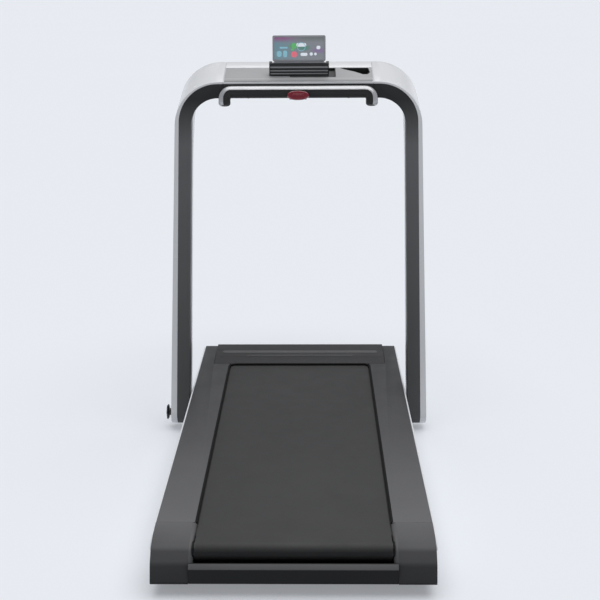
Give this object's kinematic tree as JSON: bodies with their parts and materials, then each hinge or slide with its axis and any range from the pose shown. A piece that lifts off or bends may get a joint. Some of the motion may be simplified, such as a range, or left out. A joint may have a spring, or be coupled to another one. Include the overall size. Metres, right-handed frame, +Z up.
{
  "type": "folding treadmill",
  "caption": "Low motorised running deck with an inverted-U arch that folds down over it, carrying a handlebar, a sloped console, a tilting display and a pull-off safety key.",
  "frame": {"origin": "middle of the machine's footprint, on the floor", "axes": "+X to the user's right, +Y the way the user faces, +Z up"},
  "size_m": [0.768, 1.3576, 1.1109],
  "materials": {
    "deck_cover": "fine satin grain, charcoal",
    "side_shell": "white satin",
    "belt": "fine diamond texture, charcoal",
    "arch_white": "white gloss",
    "arch_dark": "dark satin",
    "console_grey": "silver-grey matt",
    "black_plastic": "black satin",
    "display_frame": "silver-grey satin",
    "display_glass": "lit screen behind clear cover",
    "bar_silver": "satin silver",
    "bar_grip": "soft-touch black",
    "key_red": "red gloss",
    "frame_paint": "black powder coat",
    "bright_steel": "machined",
    "cast_metal": "cast grey",
    "bronze": "sintered bronze",
    "rubber": "black rubber",
    "board": "plywood with a waxed face",
    "circuit": "green circuit board"
  },
  "bodies": {
    "deck": {"side_rail_left": "frame_paint", "side_rail_right": "frame_paint", "cross_members": "frame_paint", "deck_board": "board", "board_cushions": "rubber", "running_belt": "belt", "front_axle": "bright_steel", "rear_axle": "bright_steel", "tension_bolts": "bright_steel", "motor_case": "cast_metal", "motor_bracket": "frame_paint", "drive_belt": "rubber", "controller_box": "cast_metal", "power_inlet": "black_plastic", "belly_pan": "black_plastic", "motor_hood": "deck_cover", "foot_rail_left": "deck_cover", "foot_rail_right": "deck_cover", "side_shell_left": "side_shell", "side_shell_right": "side_shell", "rear_cap_left": "deck_cover", "rear_cap_right": "deck_cover", "rear_cover": "deck_cover", "rear_feet": "rubber", "wheel_forks": "frame_paint", "pivot_brackets": "frame_paint", "pivot_bolts": "bright_steel"},
    "arch": {"arch_frame": "frame_paint", "pivot_lugs": "frame_paint", "pivot_bushes": "bronze", "outer_shell_left": "arch_white", "outer_shell_right": "arch_white", "inner_cover_left": "arch_dark", "inner_cover_right": "arch_dark", "console_housing": "arch_white", "console_rear_cover": "arch_dark", "console_panel": "console_grey", "storage_tray": "black_plastic", "stand_tray": "black_plastic", "display_stand": "black_plastic", "hinge_pin": "bright_steel", "console_board": "circuit", "handlebar": "bar_silver", "handlebar_grip": "bar_grip", "safety_socket": "black_plastic"},
    "display": {"display_case": "display_frame", "display_screen": "display_glass"},
    "safety_key": {"safety_key": "key_red"},
    "clamp_washer": {"clamp_washer": "bright_steel"},
    "lock_knob": {"lock_knob": "black_plastic"},
    "front_roller": {"front_roller": "bright_steel", "roller_pulley": "cast_metal", "front_bearings": "bright_steel"},
    "rear_roller": {"rear_roller": "bright_steel", "rear_bearings": "bright_steel"},
    "motor_rotor": {"motor_shaft": "bright_steel", "motor_pulley": "cast_metal"},
    "front_wheel_left": {"front_wheel_left": "rubber"},
    "front_wheel_right": {"front_wheel_right": "rubber"},
    "power_switch": {"power_switch": "black_plastic"}
  },
  "joints": [
    {"name": "arch_fold", "type": "hinge", "parent": "deck", "child": "arch", "pos_m": [0, 0.201, 0.047], "axis": [1, 0, 0], "range_deg": [0, 105]},
    {"name": "display_tilt", "type": "hinge", "parent": "arch", "child": "display", "pos_m": [0, 0.56898, 1.02606], "axis": [-1, 0, 0], "range_deg": [-34, 66]},
    {"name": "key_pull", "type": "slide", "parent": "arch", "child": "safety_key", "axis": [0, -0.9354, 0.3535], "range_m": [0, 0.03]},
    {"name": "clamp_travel", "type": "slide", "parent": "deck", "child": "clamp_washer", "axis": [-1, 0, 0], "range_m": [0, 0.00301]},
    {"name": "knob_turn", "type": "hinge", "parent": "clamp_washer", "child": "lock_knob", "pos_m": [-0.38, 0.201, 0.047], "axis": [-1, 0, 0], "range_deg": [0, 720]},
    {"name": "front_roller_spin", "type": "hinge", "parent": "deck", "child": "front_roller", "pos_m": [0, 0.426, 0.0861], "axis": [1, 0, 0], "continuous": true},
    {"name": "rear_roller_spin", "type": "hinge", "parent": "deck", "child": "rear_roller", "pos_m": [0, -0.631, 0.0861], "axis": [1, 0, 0], "continuous": true},
    {"name": "motor_spin", "type": "hinge", "parent": "deck", "child": "motor_rotor", "pos_m": [0, 0.511, 0.066], "axis": [1, 0, 0], "continuous": true},
    {"name": "wheel_left_spin", "type": "hinge", "parent": "deck", "child": "front_wheel_left", "pos_m": [-0.291, 0.548, 0.02], "axis": [1, 0, 0], "continuous": true},
    {"name": "wheel_right_spin", "type": "hinge", "parent": "deck", "child": "front_wheel_right", "pos_m": [0.291, 0.548, 0.02], "axis": [1, 0, 0], "continuous": true},
    {"name": "switch_rock", "type": "hinge", "parent": "deck", "child": "power_switch", "pos_m": [-0.184, 0.601, 0.065], "axis": [1, 0, 0], "range_deg": [0, 10]}
  ],
  "couplings": [
    {"joint": "rear_roller_spin", "follows": "front_roller_spin", "ratio": 1},
    {"joint": "motor_spin", "follows": "front_roller_spin", "ratio": 2},
    {"joint": "clamp_travel", "follows": "knob_turn", "m_per_rad": 0.00023873}
  ]
}
